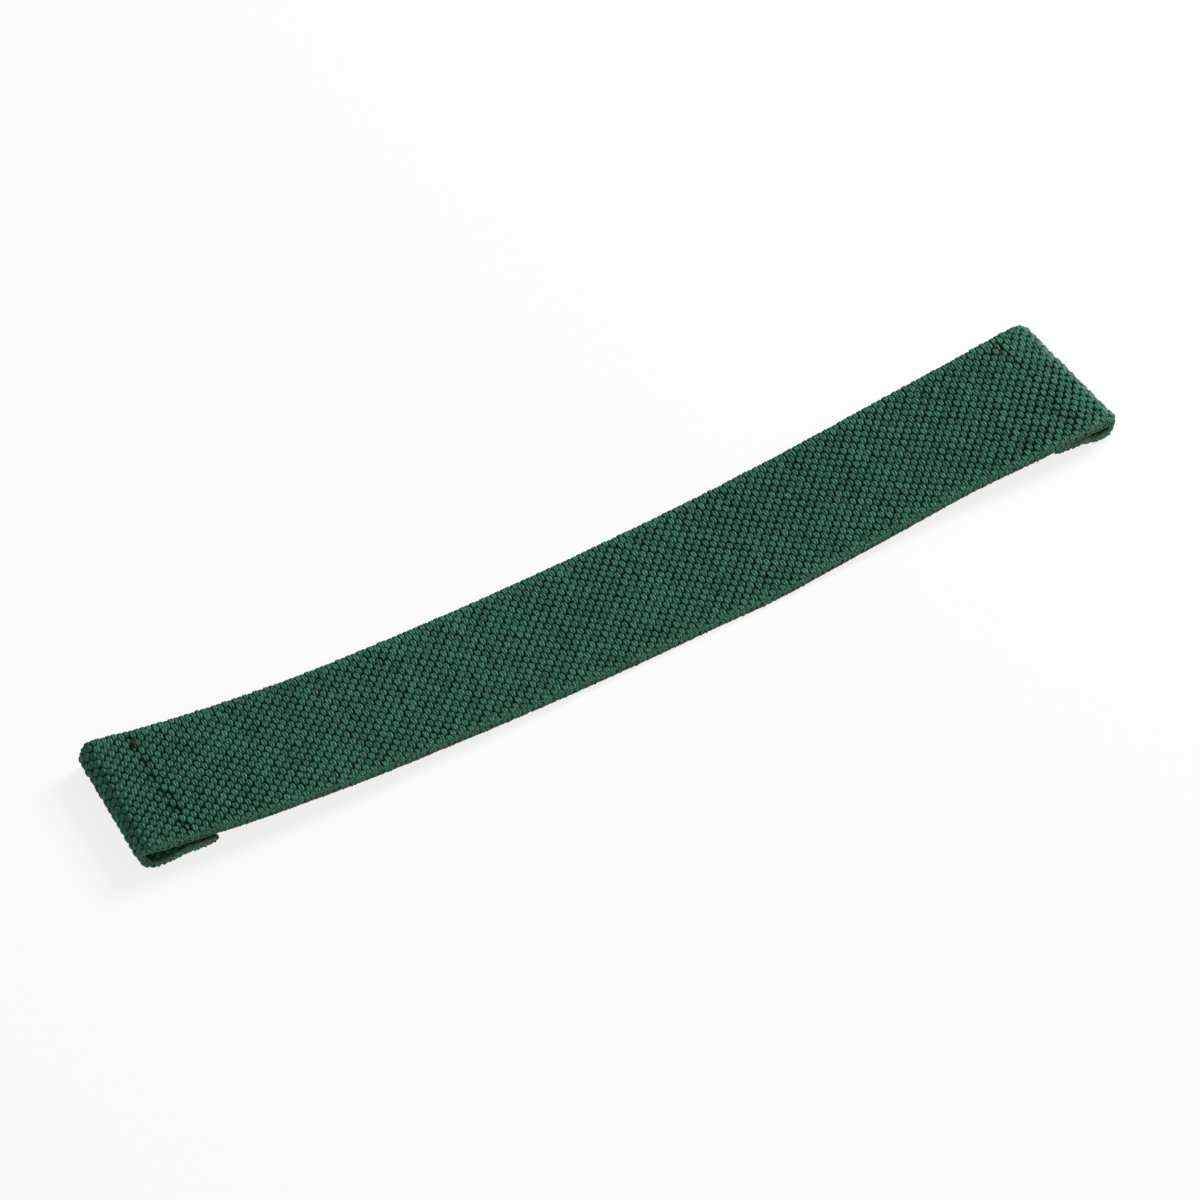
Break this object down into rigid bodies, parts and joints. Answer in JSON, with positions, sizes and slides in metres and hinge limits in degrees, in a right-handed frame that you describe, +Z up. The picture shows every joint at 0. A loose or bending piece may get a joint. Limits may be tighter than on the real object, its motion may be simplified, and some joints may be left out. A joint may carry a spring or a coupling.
{
  "type": "webbing strap",
  "caption": "Short heavy woven strap with each end folded under and sewn down to form a flat sleeve, lying in a slight curve.",
  "frame": {"origin": "middle of the strap's footprint, on the surface it lies on", "axes": "+X from the left loop's tip to the right loop's tip along the chord of the strap's slight curve, +Y across the strap, +Z up from the surface"},
  "size_m": [0.1926, 0.0294, 0.0059],
  "materials": {
    "webbing": "coarse plain-woven yarn, dark green, matt with a slight yarn sheen",
    "seam_thread": "dull olive twisted sewing thread"
  },
  "bodies": {
    "root": {"webbing": "webbing", "left_needle_thread": "seam_thread", "left_bobbin_thread": "seam_thread", "right_needle_thread": "seam_thread", "right_bobbin_thread": "seam_thread"}
  },
  "joints": []
}
